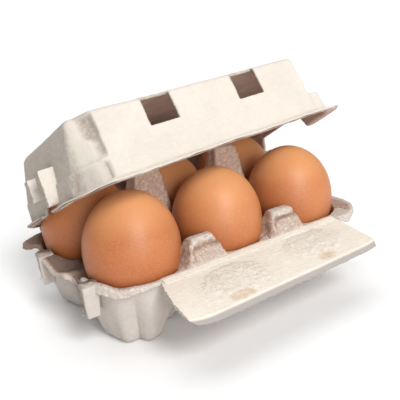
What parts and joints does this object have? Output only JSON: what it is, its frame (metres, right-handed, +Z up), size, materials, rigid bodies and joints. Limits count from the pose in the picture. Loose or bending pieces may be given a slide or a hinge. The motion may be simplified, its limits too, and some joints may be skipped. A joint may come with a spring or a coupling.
{
  "type": "egg carton with eggs",
  "caption": "Moulded pulp egg carton holding hen's eggs in round cups, with a hinged domed lid, windows in its front panel and a folding front flap.",
  "frame": {"origin": "On the surface that the carton rests on, under the middle of the bounding box of the opened carton.", "axes": "+X along the row of three cups, +Y from the folding flap towards the lid's hinge, +Z up."},
  "size_m": [0.1546, 0.1378, 0.1099],
  "materials": {
    "tray_pulp": "matt, fibrous moulded pulp",
    "lid_pulp": "matt, smooth-faced moulded pulp",
    "flap_pulp": "matt, smooth-faced moulded pulp with small stains",
    "eggshell": "matt, finely pored shell"
  },
  "bodies": {
    "tray": {"tray": "tray_pulp", "egg_1": "eggshell", "egg_2": "eggshell", "egg_3": "eggshell", "egg_4": "eggshell", "egg_5": "eggshell", "egg_6": "eggshell"},
    "lid": {"lid": "lid_pulp"},
    "flap": {"flap": "flap_pulp"}
  },
  "joints": [
    {"name": "lid_hinge", "type": "hinge", "parent": "tray", "child": "lid", "pos_m": [0, 0.05915, 0.033], "axis": [-1, 0, 0], "range_deg": [-25, 92]},
    {"name": "flap_hinge", "type": "hinge", "parent": "tray", "child": "flap", "pos_m": [0, -0.0391, 0.0324], "axis": [-1, 0, 0], "range_deg": [0, 115]}
  ]
}
